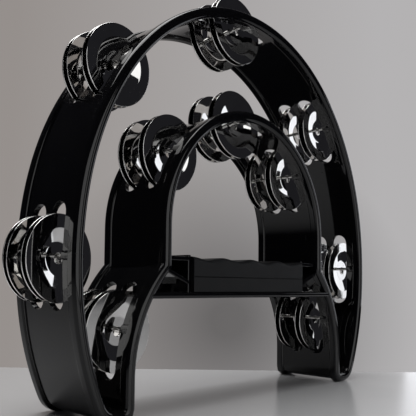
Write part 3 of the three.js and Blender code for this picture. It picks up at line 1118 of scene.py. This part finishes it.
def hang_disc(station_name, row, letter, lean):
    node = f"jingle_{station_name}_{row}_{letter}"
    low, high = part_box(node)
    deselect_everything()
    disc = pattern_disc.copy()
    disc.data = pattern_disc.data.copy()
    disc.name = f"disc_{station_name}_{row}_{letter}"
    disc.data.name = disc.name
    bpy.context.scene.collection.objects.link(disc)
    only(disc)
    facing = -math.pi / 2 if letter == "a" else math.pi / 2
    rim = low.y if letter == "a" else high.y
    spin = Matrix.Rotation(draw.uniform(0, 2 * math.pi), 4, "Z")
    turned = Matrix.Rotation(facing, 4, "X") @ spin
    centre = Vector(((low.x + high.x) / 2, rim, (low.z + high.z) / 2))
    axis = wall_direction(STATIONS[station_name])
    leaning = Matrix.Rotation(math.radians(lean + draw.uniform(-LEAN_SPREAD, LEAN_SPREAD)), 4, axis)
    disc.data.transform(Matrix.Translation(centre) @ leaning @ turned)
    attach(disc, f"{station_name}_{row}_{letter}")
    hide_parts(node)
    return disc


discs = []
for station_name in STATIONS:
    lean = LEANS.get(station_name, draw.uniform(-2, 2))
    for row in ("front", "rear"):
        for letter in ("a", "b"):
            discs.append(hang_disc(station_name, row, letter, lean))
bpy.data.objects.remove(pattern_disc)
print(len(discs), "jingles")


# %% [markdown]
# ## Steel pins
#
# The pins are short lengths of drawn wire, pushed in from the rear. A cylinder with rounded ends is
# enough, because all that shows of it is a short bright line beside the discs.

# %% Pins
def build_pin(station_name):
    node = f"pin_{station_name}"
    low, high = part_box(node)
    centre = (low + high) / 2
    deselect_everything()
    bpy.ops.mesh.primitive_cylinder_add(
        vertices=32,
        radius=(high.x - low.x) / 2,
        depth=high.y - low.y,
        location=centre,
        rotation=(math.pi / 2, 0, 0),
    )
    piece = name_new(f"steel_{node}")
    bpy.ops.object.transform_apply(location=True, rotation=True, scale=True)
    apply_modifier(piece, "BEVEL", width=0.35 * MM, segments=4, limit_method="ANGLE")
    smooth(piece)
    piece.data.materials.clear()
    piece.data.materials.append(STEEL)
    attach(piece, "frame")
    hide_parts(node)
    return piece


pins = [build_pin(station_name) for station_name in STATIONS]
print(len(pins), "pins")

# %% [markdown]
# ## Floor, backdrop and light
#
# A black glossy object is lit by what it reflects. Two large soft panels stand in front and to the
# right, a third hangs overhead for the floor, and the room beyond them stays dark. The panels draw
# the lines on the beads and the patches on the discs. The floor is pale and slightly glossy.

# %% Floor and backdrop
TABLE_BEHIND = 0.485
view_ahead = Vector((-back.x, -back.y, 0)).normalized()
view_across = Vector((view_ahead.y, -view_ahead.x, 0))
TABLE_REACH = 3.0


def flat_sheet(name, centre, across, along_it, half_across, half_along):
    """A flat rectangle, turned by its own directions and then placed in its mesh."""
    deselect_everything()
    bpy.ops.mesh.primitive_plane_add(size=2)
    piece = name_new(name)
    normal = across.cross(along_it)
    turn = Matrix((across * half_across, along_it * half_along, normal)).transposed().to_4x4()
    piece.data.transform(Matrix.Translation(centre) @ turn)
    return piece


eye_on_floor = Vector((CAMERA_PLACE.x, CAMERA_PLACE.y, 0))
floor_centre = eye_on_floor + view_ahead * (TABLE_BEHIND - TABLE_REACH)
floor = flat_sheet("floor", floor_centre, view_across, view_ahead, TABLE_REACH, TABLE_REACH)
BACKDROP_AWAY = 1.5
backdrop_centre = eye_on_floor + view_ahead * BACKDROP_AWAY + Vector((0, 0, 0.25))
backdrop = flat_sheet("backdrop", backdrop_centre, view_across, Vector((0, 0, 1)), 0.9, 0.9)


def make_floor_finish():
    material, tree, shader, position = new_material("pale_floor")
    mottle = remap(tree, noise(tree, position, 6, detail=3), 0.3, 0.7)
    link(tree, tint(tree, mottle, (0.70, 0.70, 0.71), (0.74, 0.74, 0.745)), shader.inputs["Base Color"])
    link(tree, remap(tree, mottle, 0, 1, 0.16, 0.20), shader.inputs["Roughness"])
    return material


# Where the painted shadow of the instrument sits: across from the backdrop's middle, and below it.
SHADE_ACROSS = 0.085
SHADE_DROP = 0.27


def make_backdrop_painted_light():
    """A glowing backdrop, with painted light to the right and a painted shadow behind the instrument."""
    material, tree, shader, position = new_material("grey_backdrop_painted_light")
    along_wall = add_node(tree, "ShaderNodeVectorMath", operation="DOT_PRODUCT")
    along_wall.inputs[1].default_value = view_across
    link(tree, position, along_wall.inputs[0])
    centre = backdrop_centre.dot(view_across)
    # Painted light: the backdrop's glow grows brighter from left to right.
    side = remap(tree, along_wall.outputs["Value"], centre - 0.45, centre + 0.45)
    colour = tint(tree, side, (0.30, 0.275, 0.262), (0.455, 0.445, 0.45))
    # Painted shadow of the instrument: the glow is dimmed round a spot behind and below it.
    away = add_node(tree, "ShaderNodeVectorMath", operation="DISTANCE")
    away.inputs[1].default_value = backdrop_centre + view_across * SHADE_ACROSS - Vector((0, 0, SHADE_DROP))
    link(tree, position, away.inputs[0])
    shaded = add_node(tree, "ShaderNodeVectorMath", operation="SCALE")
    link(tree, colour, shaded.inputs[0])
    link(tree, remap(tree, away.outputs["Value"], 0.04, 0.46, 0.36, 1.0), shaded.inputs["Scale"])
    link(tree, shaded.outputs["Vector"], shader.inputs["Emission Color"])
    shader.inputs["Emission Strength"].default_value = 1.0
    shader.inputs["Base Color"].default_value = (0.0, 0.0, 0.0, 1)
    shader.inputs["Roughness"].default_value = 1.0
    shader.inputs["Specular IOR Level"].default_value = 0.0
    return material


floor.data.materials.append(make_floor_finish())
backdrop.data.materials.append(make_backdrop_painted_light())


# %% Soft panels
def soft_panel(name, place, aim, width, height, power, colour=(1, 1, 1)):
    data = bpy.data.lights.new(name, "AREA")
    data.shape = "RECTANGLE"
    data.size = width
    data.size_y = height
    data.energy = power
    data.color = colour
    panel = bpy.data.objects.new(name, data)
    bpy.context.scene.collection.objects.link(panel)
    panel.location = place
    panel.rotation_euler = (Vector(aim) - Vector(place)).to_track_quat("-Z", "Y").to_euler()
    panel.visible_camera = False
    return panel


HEART = (0, 0, 0.11)
soft_panel("front_panel", (0.0, -0.95, 0.28), HEART, width=1.00, height=0.55, power=1.9)
soft_panel(
    "right_panel", (1.00, -0.05, 0.28), HEART, width=0.87, height=0.55, power=1.65, colour=(0.93, 0.95, 1.0)
)
soft_panel("top_panel", (-0.1, 0.1, 1.30), HEART, width=0.9, height=0.9, power=11.0)

world = bpy.data.worlds.new("room")
world.use_nodes = True
world.node_tree.nodes["Background"].inputs["Color"].default_value = (0.012, 0.012, 0.014, 1)
bpy.context.scene.world = world
